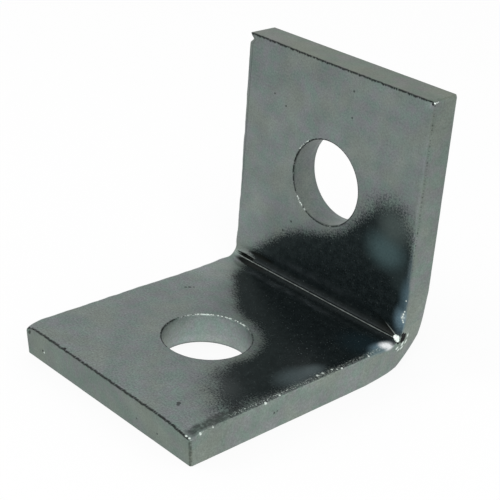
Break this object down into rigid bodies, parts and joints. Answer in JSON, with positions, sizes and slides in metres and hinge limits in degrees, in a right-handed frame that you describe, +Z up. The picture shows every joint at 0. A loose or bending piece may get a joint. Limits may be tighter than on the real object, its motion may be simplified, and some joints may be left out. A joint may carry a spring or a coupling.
{
  "type": "angle bracket",
  "caption": "Right-angle corner bracket folded from thick zinc-plated strip steel, with one punched bolt hole in each leg, creased inside the bend and blunt outside it.",
  "frame": {"origin": "on the ground, under the middle of the foot's length and of the strip's width", "axes": "+X across the strip, +Y from the foot's cut end to the back of the upright, +Z up the upright"},
  "size_m": [0.0412, 0.052, 0.0481],
  "materials": {
    "zinc_plate": "electro-plated zinc over steel: satin blue-grey with green and violet mottling, and dark and glossy in the recess round the bend"
  },
  "bodies": {
    "root": {"angle_bracket": "zinc_plate"}
  },
  "joints": []
}
